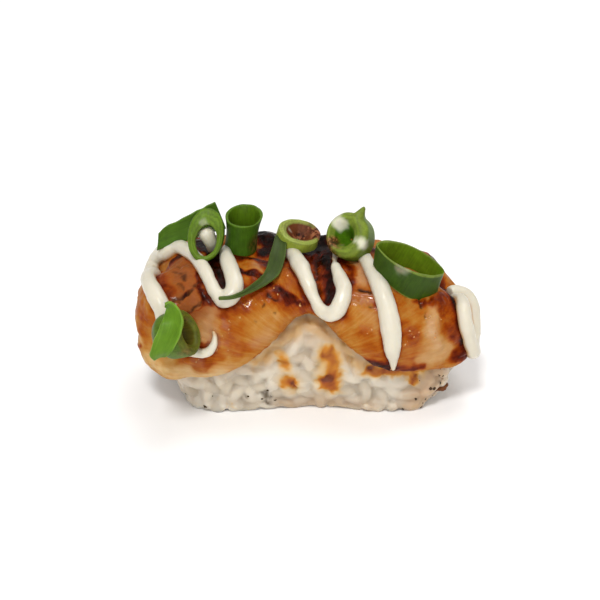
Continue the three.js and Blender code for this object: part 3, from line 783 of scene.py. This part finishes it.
# Mayonnaise: piped runs laid over the slice. Each stop is x, y, z and half the run's width.
mayonnaise = {
    "voxel": 0.24,
    "raised": 0.42,  # how much of the half width the run's middle stands off the slice
    "bankAndShade": 0.6,  # how strongly sauce gathers along a run, with painted shade beside it
    "bankAndShadeDepth": 0.86,  # how deep its film gets there
    "bankAndShadeReach": 0.9,
    "runs": {
        "mayonnaiseZigzag": ["mayonnaise_zigzag", [
            (-17.3, -15, 19.6, 0.25), (-17, -15, 18.2, 0.5), (-17.3, -15, 16.5, 0.75),
            (-18.6, -15, 15.1, 0.95), (-20.8, -14.5, 15, 1), (-23.4, -13.6, 15.2, 1),
            (-24.8, -13, 17.4, 1.5),
            (-25.4, -12.6, 20, 1.7), (-26, -11.6, 22, 1.7), (-27.2, -9.6, 23.4, 1.75),
            (-29, -6.5, 24.4, 1.5), (-29.7, -3, 24, 1.5), (-29.5, 1, 22.6, 1.6),
            (-29.3, 5, 20, 1.6), (-28.2, 7.8, 20.2, 1.6), (-27.2, 7, 23, 1.6),
            (-26.4, 4.8, 25, 1.5), (-24.8, 4.5, 26.4, 1.4), (-23, 2.2, 27, 1.4),
            (-20.8, -2, 27.3, 1.3), (-19.2, -6, 27.2, 1.35), (-17.8, -9.6, 26.3, 1.25),
            (-16.7, -11.6, 25.2, 1.25), (-15.4, -12.6, 24.4, 1.55), (-14.3, -12.3, 24.7, 1.65),
            (-13.5, -10.9, 25.8, 1.7), (-13.9, -8.6, 27, 1.55), (-14.9, -4.4, 27.5, 1.5),
            (-15.4, -1.2, 27.4, 1.2), (-15.2, 2.6, 27, 0.6), (-13.6, 7, 26, 1.6),
            (-11.5, 12, 23, 1.6), (-8.5, 13.8, 20.5, 1.6), (-5.5, 12.5, 22.5, 1.6),
            (-4.6, 7, 26, 1.6), (-3.8, 1.5, 27, 1.4), (-2.6, -1.5, 27, 1.5),
            (-1.6, -5, 26.6, 1.7), (-0.2, -8.6, 25.2, 1.4), (1, -11.2, 23.7, 1.05),
            (2.5, -12.9, 22.2, 1.3), (4.2, -13.2, 22, 1.6), (5.7, -12.3, 23.6, 1.6),
            (6.2, -10.6, 25, 1.5), (5.6, -8.2, 26.2, 1.4), (4.9, -5.4, 27, 0.95),
            (4.7, -2.4, 27, 0.4), (5.1, 1, 27.3, 0.8), (5.6, 5, 26.8, 1.5),
            (6.2, 8, 25.8, 1.6), (7.6, 11, 24.5, 1.6), (9.6, 10, 25, 1.6),
            (10.4, 5, 27, 1.5), (9.9, -0.6, 27.5, 1.3), (11.1, -5.4, 27, 1.35),
            (12.6, -9.6, 25.4, 1.7), (13.9, -13, 23, 1.85), (14.6, -14.8, 19.5, 1.9),
            (14.9, -15.3, 16.3, 1.6), (15.2, -15, 13.4, 0.85), (15.3, -14.9, 11.3, 0.4),
        ]],
        "mayonnaiseEnd": ["mayonnaise_end", [
            (28.8, -2.8, 20.4, 1.1), (28, -5.2, 20.4, 1.35), (27.6, -7.8, 19.6, 1.45),
            (28.1, -9, 17.4, 1.45), (28.8, -8.7, 14.2, 1.45), (29.4, -7.2, 11.1, 1.45),
            (30.7, -4, 10.8, 1.45), (31.2, -0.8, 13.8, 1.5), (30.6, 1, 17.4, 1.5),
            (29.4, 1.6, 19.6, 1.4), (28.9, 0.8, 20.4, 1.2),
        ]],
    },
    # A loop of the same run that stands up behind the left ring, off the slice.
    "loop": [
        (-19.3, -0.6, 33.1, 1.1), (-19, -0.9, 32.3, 1.6), (-18.5, -0.9, 31.2, 1.4),
        (-17.9, 0, 29.4, 1.35), (-17.5, 1.2, 27.6, 1.3),
    ],
}


# The slice's outside under a point, seen from the nigiri's long axis, and the way out there.
def onSlice(point):
    middle = Vector((max(-axis["half"], min(axis["half"], point.x)), 0, axis["height"]))
    outward = (point - middle).normalized()
    return onOutside(scallopTree, middle, outward, point), outward


def layRun(name, stops, raised):
    curve = bpy.data.curves.new(name, "CURVE")
    curve.dimensions = "3D"
    curve.bevel_depth = 1.0
    curve.bevel_resolution = 4
    curve.resolution_u = 6
    curve.use_fill_caps = True
    spline = curve.splines.new("BEZIER")
    spline.bezier_points.add(len(stops) - 1)
    for bead, (x, y, z, half) in zip(spline.bezier_points, stops):
        place, outward = onSlice(Vector((x, y, z)))
        bead.co = place + outward * half * raised if raised else (x, y, z)
        bead.radius = half
        bead.handle_left_type = bead.handle_right_type = "AUTO"
    return evaluated(placed(name, curve))


def makeMayonnaise(name, stops, raised):
    mesh = remeshed(layRun(name, stops, raised), mayonnaise["voxel"], 4)
    points = readPoints(mesh)
    points = lifted(mesh, 0.1 * grainyNoise(points, 2.6, 11) + 0.03 * grainyNoise(points, 0.8, 12))
    writePoints(mesh, points)
    writeAttributes(mesh, above=[scallopTree.find_nearest(Vector(p))[3] for p in points])
    return mesh


# Mayonnaise: an opaque oily emulsion, creamy, softly glossy, tinted where it meets the sauce.
def pipedMayonnaise():
    material, add = newMaterial("pipedMayonnaise")
    place = add("TexCoord").outputs["Object"]
    above = add("Attribute", attribute_name="above").outputs["Fac"]
    cloud = add("TexNoise", {"Vector": place, "Scale": 0.42 / mm, "Detail": 3.0})
    cream = add("MixRGB", {"Fac": cloud, 1: "#d5cfbe", 2: "#c8c0ac"})
    edge = add("MapRange", {"Value": above, "From Min": 0.15, "From Max": 0.7, "To Min": 0.85,
                            "To Max": 0.0})
    seen = add("MixRGB", {"Fac": edge, 1: cream, 2: "#b98a4c"})
    bump = add("Bump", {"Height": cloud, "Strength": 0.25, "Distance": 0.2 * mm})
    surface = add("BsdfPrincipled", {
        "Base Color": seen,
        "Roughness": 0.3,
        "Subsurface Weight": 0.4,
        "Subsurface Radius": (1.0, 0.8, 0.5),
        "Subsurface Scale": 0.8 * mm,
        "IOR": 1.46,
        "Normal": bump,
    })
    add("OutputMaterial", {"Surface": surface})
    return material


# Sauce gathers in a dark line along each run, partly painted shade beside the raised mayonnaise: the
# slice's film deepens near the mayonnaise.
def darkenAlong(mesh, trees):
    points = readPoints(mesh)
    layer = mesh.attributes["film"].data
    film = np.zeros(len(points))
    layer.foreach_get("value", film)
    reach = mayonnaise["bankAndShadeReach"]
    apart = np.full(len(points), reach)
    for tree in trees:
        for index, point in enumerate(points):
            found = tree.find_nearest(point, reach)[3]
            if found is not None:
                apart[index] = min(apart[index], found)
    here = ease(grainyNoise(points, 4.5, 31), -0.35, 0.35)
    bankAndShade = mayonnaise["bankAndShade"] * (1 - ease(apart, 0.1, reach)) * (0.35 + 0.65 * here)
    film = film + (mayonnaise["bankAndShadeDepth"] - film) * bankAndShade
    layer.foreach_set("value", film.astype(np.float32))


mayonnaiseMaterial = pipedMayonnaise()
runMeshes = {name: makeMayonnaise(name, stops, mayonnaise["raised"])
             for name, (_, stops) in mayonnaise["runs"].items()}
darkenAlong(scallopMesh, [treeOf(mesh) for mesh in runMeshes.values()])
addPiece("scallopSlice", scallopMesh, [scallopMaterial], "scallop", "scallop_slice")
for name, (node, _) in mayonnaise["runs"].items():
    addPiece(name, runMeshes[name], [mayonnaiseMaterial], "mayonnaise", node)
loopMesh = makeMayonnaise("loop", mayonnaise["loop"], 0)
addPiece("mayonnaiseLoop", loopMesh, [mayonnaiseMaterial], "mayonnaise")


# Green onion: slices of hollow stalk. half is the oval's half-axes and hollow its hollow's, moved
# by hollowAt and narrowing by cup towards the bottom; pinch draws the oval's ends to corners, lean
# moves the upper cut to the right, dip lowers its front, flare widens it, waist narrows the middle,
# round draws in the bottom, slant drops its right end, dome rounds the cuts over, spike draws one to
# a point, and sheaths is how many layers they show. Colours are the skin's, the inside's and the
# cuts'. Marks are a strength, a reach and a spot.
# Pale marks are partly pale membrane, partly painted highlights on the wet rings.
onionSlices = {
    "onionRingLeft": {
        "node": "onion_ring_left", "half": (3.25, 5), "hollow": (1.9, 2.9), "hollowAt": (0.2, -1),
        "height": 2.6, "dome": 0.35, "sheaths": 2, "at": (-18.9, -2, 32.3), "tilt": (62, 0, -9),
        "colours": ("#425c14", "#6b7a2c", "#56701a"),
        "pale": [(0.25, 1.2, (-19.2, -2, 34.8))],
    },
    "onionTube": {
        "node": "onion_tube", "half": (3.1, 3.4), "hollow": (2.65, 2.95), "height": 7, "dip": 0.45,
        "flare": 0.14, "waist": 0.06, "lean": 0.12, "sheaths": 1, "at": (-12.4, 2, 31), "tilt": (2, 0, 0),
        "colours": ("#3c5c11", "#4e6a10", "#4f6c18"),
        "stains": [(0.5, 2.6, (-9.6, 0.5, 29.5))],
    },
    "onionRingCentre": {
        "node": "onion_ring_centre", "half": (4, 3.3), "hollow": (2.9, 2.3), "hollowAt": (0.2, 0.2),
        "height": 2.4, "cup": 0.99, "cupPower": 1.2, "dome": 0.3, "sheaths": 2, "at": (-2, 2.4, 30),
        "tilt": (20, 14, 0),
        "colours": ("#94a23c", "#62341a", "#858f44"),
        "stains": [(0.9, 2, (-1.8, 2.6, 29.2)), (1, 2.6, (2.2, 2.8, 30.2)),
                   (0.9, 2.2, (0.6, 5.2, 30.6))],
        "pale": [(0.8, 0.7, (-3.9, 3.2, 30.9)), (0.4, 0.8, (-1.2, 1, 29.6))],
    },
    "onionRingRight": {
        "node": "onion_ring_right", "half": (4.2, 4.3), "hollow": (2, 2.2), "hollowAt": (-0.6, 0.1),
        "height": 3.8, "cup": 0.99, "cupPower": 1.1, "dome": 1, "sheaths": 2, "spike": 0.56,
        "at": (7.7, -0.6, 31.2), "tilt": (50, -25, 0),
        "colours": ("#5a701e", "#456a0c", "#6f7e2c"),
        "stains": [(0.9, 2, (4.1, -1.6, 30.4)), (0.8, 2.6, (4.8, -2.4, 28.8))],
        "pale": [(1, 2.1, (5.8, 0.3, 33.7)), (1, 1.8, (9.4, -3.6, 31.5)),
                 (0.5, 1.2, (5.8, -2.6, 29.4))],
    },
    "onionRingLarge": {
        "node": "onion_ring_large", "half": (7, 4.3), "hollow": (6.6, 3.9), "height": 5.4,
        "pinch": 0.35, "lean": -0.25, "slant": 1.3, "sheaths": 1, "at": (17.8, -7.2, 27.7),
        "tilt": (9, 25, 0),
        "colours": ("#31490a", "#607d16", "#6c7c30"),
        "stains": [(0.4, 1.6, (16.6, -11, 30.6)), (0.4, 1.3, (17.6, -5.2, 27.2))],
        "pale": [(0.3, 1.8, (16.8, -11, 30.4))],
    },
    "onionCurlFront": {
        "node": "onion_curl_front", "half": (4.5, 4), "hollow": (2.4, 2), "hollowAt": (0.4, 0.2),
        "height": 5, "cup": -0.2, "dome": 0.7, "sheaths": 2, "at": (-24.1, -17.2, 19.8),
        "tilt": (38, 62, -14), "round": 0.22,
        "colours": ("#4c6818", "#5a5216", "#565a18"),
        "stains": [(0.6, 2.2, (-21.6, -18, 21.6)), (0.4, 1.8, (-22.6, -20.2, 18.6))],
        "pale": [(0.3, 1.6, (-28.4, -17.6, 18.6))],
    },
}
# What every slice of stalk shares: how finely it is built, how uneven its outside, hollow and cuts
# are, how deep the grooves between sheaths go, and where round it a spike stands, in degrees.
stalkShape = {
    "turns": 96, "wallRows": 6, "rimRows": 5, "wander": 0.04, "ripple": 0.06, "rough": 0.14,
    "groove": 0.12, "spikeTurn": 54,
}


# A hollow stalk of unit size: the wall's square section stands beside the axis and is spun round it.
def spunStalk():
    bm = bmesh.new()
    section = Matrix.Translation((1.5, 0, 0.5)) @ Matrix.Rotation(math.pi / 2, 4, "X")
    section = section @ Matrix.Rotation(math.pi / 4, 4, "Z")
    bmesh.ops.create_circle(bm, segments=4, radius=math.sqrt(0.5), matrix=section)
    sides = [e for e in bm.edges if abs(e.verts[0].co.x - e.verts[1].co.x) < 0.1]
    rims = [e for e in bm.edges if e not in sides]
    bmesh.ops.subdivide_edges(bm, edges=sides, cuts=stalkShape["wallRows"])
    bmesh.ops.subdivide_edges(bm, edges=rims, cuts=stalkShape["rimRows"])
    bmesh.ops.spin(bm, geom=bm.verts[:] + bm.edges[:], cent=(0, 0, 0), axis=(0, 0, 1),
                   dvec=(0, 0, 0), angle=2 * math.pi, steps=stalkShape["turns"], use_merge=True,
                   use_duplicate=False)
    bmesh.ops.remove_doubles(bm, verts=bm.verts, dist=0.0005)
    bmesh.ops.recalc_face_normals(bm, faces=bm.faces)
    return meshFrom(bm, "stalk")


def makeStalk(facts, seed):
    mesh = spunStalk()
    raw = readPoints(mesh)
    turn = np.arctan2(raw[:, 1], raw[:, 0])
    outside = np.clip(np.hypot(raw[:, 0], raw[:, 1]) - 1, 0, 1)
    level = np.clip(raw[:, 2], 0, 1)
    around = np.column_stack([np.cos(turn), np.sin(turn), 0.4 * level])
    sine = np.sign(np.sin(turn)) * np.abs(np.sin(turn)) ** (1 + facts.get("pinch", 0))
    oval = np.column_stack([np.cos(turn), sine])
    wander = 1 + stalkShape["wander"] * grainyNoise(around, 1.1, seed + 1)
    tip = hump(turn - math.radians(stalkShape["spikeTurn"]), 0.14) * outside ** 2 * level ** 2.5
    outer = oval * np.array(facts["half"]) * (wander * (1 + facts.get("spike", 0) * tip))[:, None]
    narrowed = 1 - facts.get("cup", 0) * (1 - level) ** facts.get("cupPower", 1.5)
    narrowed = narrowed * (1 + stalkShape["ripple"] * grainyNoise(around, 0.8, seed))
    inner = oval * np.array(facts["hollow"]) * narrowed[:, None] + np.array(facts.get("hollowAt", (0, 0)))
    flat = inner + (outer - inner) * outside[:, None]
    spread = 1 + facts.get("flare", 0) * level ** 3 - facts.get("waist", 0) * np.sin(math.pi * level)
    spread = spread - facts.get("round", 0) * (1 - np.sqrt(np.clip(1 - (1 - level) ** 4, 0, 1)))
    flat = flat * spread[:, None]
    flat[:, 0] += facts.get("lean", 0) * facts["height"] * (level - 0.5)
    # The cut is domed across the wall, with a groove between one sheath and the next.
    across = np.sin(math.pi * outside)
    sheaths = facts["sheaths"]
    grooves = stalkShape["groove"] * (1 - np.abs(np.cos(math.pi * sheaths * outside))) * (sheaths > 1)
    top = facts.get("dome", 0) * across - grooves * across
    rise = facts["height"] * (level - 0.5) + top * (2 * level - 1)
    rise = rise + facts.get("dip", 0) * level * np.sin(turn)
    rise = rise - facts.get("slant", 0) * (1 - level) * np.cos(turn)
    rise = rise + stalkShape["rough"] * grainyNoise(around, 0.7, seed + 2) * (2 * level - 1)
    local = np.column_stack([flat, rise])
    turned = Euler([math.radians(angle) for angle in facts["tilt"]], "ZYX")
    upright = Matrix.LocRotScale(Vector(facts["at"]), turned, None)
    laid = np.array([upright @ Vector(p) for p in local])
    writePoints(mesh, laid)
    writeAttributes(mesh, grown=local, inward=1 - outside,
                    toCut=np.minimum(level, 1 - level) * facts["height"],
                    stained=spotted(laid, facts.get("stains", [])),
                    pale=spotted(laid, facts.get("pale", [])))
    return modified(mesh, [("SUBSURF", {"levels": 1, "render_levels": 1})])


def spotted(points, marks):
    total = np.zeros(len(points))
    loose = warped(points, 1.2, 0.4, 6)
    for strength, reach, spot in marks:
        distance = np.linalg.norm(loose - np.array(spot), axis=1)
        total = np.maximum(total, strength * (1 - ease(distance, 0.5 * reach, reach)))
    return total


# Leaf strips: flat pieces bent along a route, troughed across; width and the way across are given
# at even steps along it.
onionLeaves = {
    "onionLeafLeft": {
        "node": "onion_leaf_left", "thickness": 0.7, "width": (3.4, 3.9, 4.4, 5, 5.6),
        "route": [(-28.5, 5, 27.6), (-26.4, 5, 28.9), (-22.8, 4.7, 30.5), (-19.4, 4.8, 32.1),
                  (-16.5, 5, 33.2)],
        "across": [(0.1, 0.2, 1), (-0.2, 0.2, 1), (-0.3, 0.2, 1), (-0.35, 0.2, 1), (-0.4, 0.2, 1)],
        "colours": ("#426211", "#426211", "#587522"),
    },
    "onionBlade": {
        "node": "onion_blade", "thickness": 0.55, "width": (2.2, 3, 2.7, 1.8, 0.8, 0.5, 0.3),
        "route": [(-5.2, 1.8, 30.4), (-5.8, -3.2, 28.8), (-6.7, -8.4, 28), (-8.5, -11, 27.3),
                  (-11.6, -13.3, 26.4), (-13.8, -14.9, 26.3), (-16.2, -15.4, 26.3)],
        "across": [(1, 0, 0.1), (1, -0.1, -0.1), (0.9, -0.2, -0.3), (0.7, -0.35, -0.5), (0.5, -0.4, -0.7),
                   (0.3, -0.45, -0.8), (0.1, -0.45, -0.85)],
        "colours": ("#37461a", "#37461a", "#4a5a22"),
    },
    "onionCurlFlap": {
        "node": "onion_curl_front", "thickness": 0.7, "width": (0.7, 1.8, 2.8, 4.2, 5.3, 4.9, 2.4),
        "route": [(-25.6, -16, 25.3), (-24.9, -16.5, 25.5), (-24.2, -18, 25.2), (-24.1, -20.2, 24),
                  (-24.9, -21.5, 21.9), (-26, -21.7, 19.3), (-26.6, -20.5, 17.2)],
        "across": [(0.1, -0.2, 1), (0.3, -0.2, 1), (0.8, -0.2, 0.5), (1, -0.1, 0.2), (1, -0.1, 0.3),
                   (1, -0.1, 0.35), (1, -0.1, 0.35)],
        "colours": ("#567a18", "#567a18", "#6f8f2c"),
    },
}


# A point and the direction of travel at a share of the way along a route.
def alongRoute(route, share):
    stops = [Vector(p) for p in route]
    place = min(share * (len(stops) - 1), len(stops) - 1.0001)
    index = int(place)
    part = place - index
    before = stops[index - 1] if index else stops[0] * 2 - stops[1]
    after = stops[index + 2] if index + 2 < len(stops) else stops[-1] * 2 - stops[-2]
    p, q = stops[index], stops[index + 1]
    point = 0.5 * (2 * p + (q - before) * part + (2 * before - 5 * p + 4 * q - after) * part ** 2
                   + (3 * p - before - 3 * q + after) * part ** 3)
    heading = 0.5 * ((q - before) + 2 * (2 * before - 5 * p + 4 * q - after) * part
                     + 3 * (3 * p - before - 3 * q + after) * part ** 2)
    return point, heading.normalized()


def atShare(values, share):
    values = np.array(values, float)
    steps = np.linspace(0, 1, len(values))
    if values.ndim == 1:
        return np.interp(share, steps, values)
    return Vector([np.interp(share, steps, column) for column in values.T])


def makeLeaf(facts, seed):
    bm = bmesh.new()
    bmesh.ops.create_grid(bm, x_segments=12, y_segments=48, size=0.5)
    mesh = meshFrom(bm, "leaf")
    raw = readPoints(mesh)
    laid = []
    grown = []
    for x, y, _ in raw:
        share = y + 0.5
        point, heading = alongRoute(facts["route"], share)
        across = atShare(facts["across"], share).normalized()
        face = heading.cross(across).normalized()
        width = atShare(facts["width"], share) * (1 + 0.06 * noise.noise(Vector((3 * x, 9 * share, seed))))
        bend = 1.6 * x * x + 0.25 * noise.noise(Vector((2 * x, 5 * share, seed + 0.5)))
        laid.append(point + across * x * width + face * bend * facts["thickness"])
        grown.append((x * width, 0, share * 14))
    writePoints(mesh, laid)
    nothing = np.zeros(len(raw))
    writeAttributes(mesh, grown=grown, inward=nothing, stained=nothing, pale=nothing,
                    toCut=(0.5 - np.abs(raw[:, 0])) * max(facts["width"]))
    return modified(mesh, [
        ("SOLIDIFY", {"thickness": facts["thickness"] * 0.8, "offset": 0.0}),
        ("SUBSURF", {"levels": 1, "render_levels": 1}),
    ])


# Green onion: a waxy green skin with fine fibres along it, paler and wetter inside, palest on the
# cut rims, whose sheaths show as rings.
def greenOnion(name, skin, inside, cut):
    material, add = newMaterial(name)
    grown = add("Attribute", attribute_name="grown").outputs["Vector"]
    painted = [add("Attribute", attribute_name=name).outputs["Fac"]
               for name in ("inward", "toCut", "stained", "pale")]
    inward, toCut, stained, pale = painted
    stretched = add("Mapping", {"Vector": grown, "Scale": (1.0, 1.0, 0.05)})
    fibres = add("TexNoise", {"Vector": stretched, "Scale": 3.4, "Detail": 4.0, "Roughness": 0.65})
    cloud = add("TexNoise", {"Vector": grown, "Scale": 0.5, "Detail": 3.0})
    wall = add("MapRange", {"Value": inward, "From Min": 0.25, "From Max": 0.75})
    base = add("MixRGB", {"Fac": wall, 1: skin, 2: inside})
    rim = add("MapRange", {"Value": toCut, "From Min": 0.02, "From Max": 0.3, "To Min": 0.85,
                           "To Max": 0.0})
    rimmed = add("MixRGB", {"Fac": rim, 1: base, 2: cut})
    wavy = add("Math", {0: cloud, 1: 0.6, 2: inward}, operation="MULTIPLY_ADD")
    rings = add("Math", {0: wavy, 1: 17.0}, operation="MULTIPLY")
    ringed = add("Math", {0: rings}, operation="SINE")
    ringShare = add("Math", {0: ringed, 1: rim}, operation="MULTIPLY")
    tone = add("Math", {0: fibres, 1: 0.9, 2: 0.5}, operation="MULTIPLY_ADD")
    patchy = add("Math", {0: cloud, 1: 0.9, 2: 0.58}, operation="MULTIPLY_ADD")
    strength = add("Math", {0: tone, 1: patchy}, operation="MULTIPLY")
    lit = add("Math", {0: ringShare, 1: 0.13, 2: strength}, operation="MULTIPLY_ADD")
    shaded = add("VectorMath", {0: rimmed, "Scale": lit}, operation="SCALE")
    # Partly pale membrane, partly painted highlight where the pale marks lie.
    membraneAndSheen = add("MixRGB", {"Fac": pale, 1: shaded, 2: "#d9d6c0"})
    saucy = add("TexNoise", {"Vector": grown, "Scale": 1.3, "Detail": 4.0, "Roughness": 0.7})
    smear = add("ValToRGB", {"Fac": saucy}, stops=[
        (0.4, "#1e0c06"), (0.5, "#562612"), (0.6, "#966040"),
    ])
    seen = add("MixRGB", {"Fac": stained, 1: membraneAndSheen, 2: smear})
    bump = add("Bump", {"Height": fibres, "Strength": 0.4, "Distance": 0.1 * mm})
    surface = add("BsdfPrincipled", {
        "Base Color": seen,
        "Roughness": 0.4,
        "Subsurface Weight": 0.2,
        "Subsurface Radius": (0.5, 1.0, 0.15),
        "Subsurface Scale": 0.6 * mm,
        "IOR": 1.4,
        "Specular IOR Level": 0.2,
        "Normal": bump,
    })
    add("OutputMaterial", {"Surface": surface})
    return material


def makeOnions():
    for pieces, make, seed in [(onionSlices, makeStalk, 20), (onionLeaves, makeLeaf, 60)]:
        for index, (name, facts) in enumerate(pieces.items()):
            mesh = make(facts, seed + 5 * index)
            flesh = greenOnion(name + "Flesh", *facts["colours"])
            addPiece(name, mesh, [flesh], "onion", facts["node"])


makeOnions()

# Small things lying on the nigiri. Spots are x and the degrees round from the top to the front.
beads = {
    "seed": 3, "half": 0.26, "flat": 0.7, "sunk": 0.25, "apart": 0.8, "more": 1,
    "spots": [
        (-14.4, 57), (-14.5, 62), (-19.4, 68), (-16.7, 75), (-14.7, 76), (-11, 47), (-10.3, 45),
        (-11.6, 48), (-6.4, 37), (-5.7, 41), (-3.9, 28), (9.1, 45), (10.5, 45), (21.7, 54), (22.8, 65),
        (22.8, 68), (18.1, 63), (19.8, 64), (18.9, 67), (-16.7, 71), (-17.2, 62), (-15.7, 66),
        (-12.5, 55), (-8.5, 45), (-1.7, 47), (11.2, 62), (17.3, 72), (23.9, 55), (-20.6, 86), (15, 92),
    ],
}
flecks = {
    "seed": 5, "half": 0.31, "flat": 0.4, "sunk": 0.2, "apart": 0.7, "more": 0,
    "spots": [
        (-23.2, 141), (-19.5, 133), (-11.4, 126), (-7.7, 123), (-7.1, 127), (-6.4, 130), (-8.8, 129),
        (23.2, 137), (21.8, 133), (21.1, 138), (17.6, 136), (22.6, 123), (22.3, 143), (20, 131),
        (20.6, 117), (-18.1, 128), (24.4, 112), (25, 120), (24.6, 127), (23.6, 130), (25.4, 108),
        (24.2, 118), (25.2, 115), (23.4, 124), (23.9, 135), (22.8, 139), (21.4, 135), (25.6, 112),
    ],
}


def bitMatrix(chance, tree, facts, x, degrees):
    spot = onSide(tree, x, degrees)
    _, outward, _, _ = tree.find_nearest(spot)
    half = facts["half"] * chance.uniform(0.55, 1.2)
    turn = outward.to_track_quat("Z", "Y") @ Euler((0, 0, chance.uniform(0, 6.3))).to_quaternion()
    size = Vector((half, half * chance.uniform(0.6, 1.0), half * facts["flat"]))
    return Matrix.LocRotScale(spot - outward * half * facts["sunk"], turn, size)


def makeBits(tree, facts, rough):
    chance = random.Random(facts["seed"])
    bm = bmesh.new()
    for x, degrees in facts["spots"]:
        matrix = bitMatrix(chance, tree, facts, x, degrees)
        bmesh.ops.create_icosphere(bm, subdivisions=2, radius=1, matrix=matrix)
        for _ in range(facts["more"]):
            nearX = x + chance.uniform(-1, 1) * facts["apart"]
            nearTurn = degrees + chance.uniform(-4, 4) * facts["apart"]
            matrix = bitMatrix(chance, tree, facts, nearX, nearTurn)
            bmesh.ops.create_icosphere(bm, subdivisions=2, radius=0.6, matrix=matrix)
    mesh = meshFrom(bm, "bits")
    points = lifted(mesh, rough * grainyNoise(readPoints(mesh), 0.35, 41))
    points[:, 2] = np.maximum(points[:, 2], 0)
    writePoints(mesh, points)
    return mesh


# Droplets of sauce: amber, clear and very smooth, each a point of light.
def sauceDrops():
    material, add = newMaterial("sauceDrops")
    place = add("TexCoord").outputs["Object"]
    tint = add("TexNoise", {"Vector": place, "Scale": 0.3 / mm})
    amber = add("MixRGB", {"Fac": tint, 1: "#c98d44", 2: "#9a5a20"})
    surface = add("BsdfPrincipled", {
        "Base Color": amber,
        "Roughness": 0.12,
        "Coat Weight": 1.0,
        "Coat Roughness": 0.03,
        "Subsurface Weight": 0.3,
        "Subsurface Radius": (1.0, 0.4, 0.15),
        "Subsurface Scale": 0.6 * mm,
    })
    add("OutputMaterial", {"Surface": surface})
    return material


# Charred crumbs: dry, nearly black, browner where they thin out.
def charredCrumbs(name, black, brown):
    material, add = newMaterial(name)
    place = add("TexCoord").outputs["Object"]
    patches = add("TexNoise", {"Vector": place, "Scale": 0.9 / mm, "Detail": 3.0})
    burnt = add("MixRGB", {"Fac": patches, 1: black, 2: brown})
    bump = add("Bump", {"Height": patches, "Strength": 0.6, "Distance": 0.1 * mm})
    surface = add("BsdfPrincipled", {
        "Base Color": burnt,
        "Roughness": 0.7,
        "Specular IOR Level": 0.25,
        "Normal": bump,
    })
    add("OutputMaterial", {"Surface": surface})
    return material


# The burnt scrap stuck to the rice's right end.
scrap = {"half": (1.5, 1.1, 0.8), "at": (24.9, -7.4, 3.2), "turn": 12}


def makeScrap():
    spot, _, _, _ = riceTree.find_nearest(Vector(scrap["at"]))
    turn = Euler((0, math.radians(-scrap["turn"]), 0))
    bm = bmesh.new()
    matrix = Matrix.LocRotScale(spot, turn, Vector(scrap["half"]))
    bmesh.ops.create_icosphere(bm, subdivisions=4, radius=1, matrix=matrix)
    mesh = meshFrom(bm, "scrap")
    points = readPoints(mesh)
    lift = 0.3 * grainyNoise(points, 1.3, 43) + 0.08 * grainyNoise(points, 0.4, 44)
    writePoints(mesh, lifted(mesh, lift))
    return mesh


blackCrumbs = charredCrumbs("charredCrumbs", "#1f150e", "#54422c")
brownCrust = charredCrumbs("burntSauceCrust", "#3a1a0a", "#8a5226")
addPiece("sauceBeads", makeBits(scallopTree, beads, 0.03), [sauceDrops()], "scallop")
addPiece("charFlecks", makeBits(riceTree, flecks, 0.2), [blackCrumbs], "rice")
addPiece("burntScrap", makeScrap(), [brownCrust], "rice")
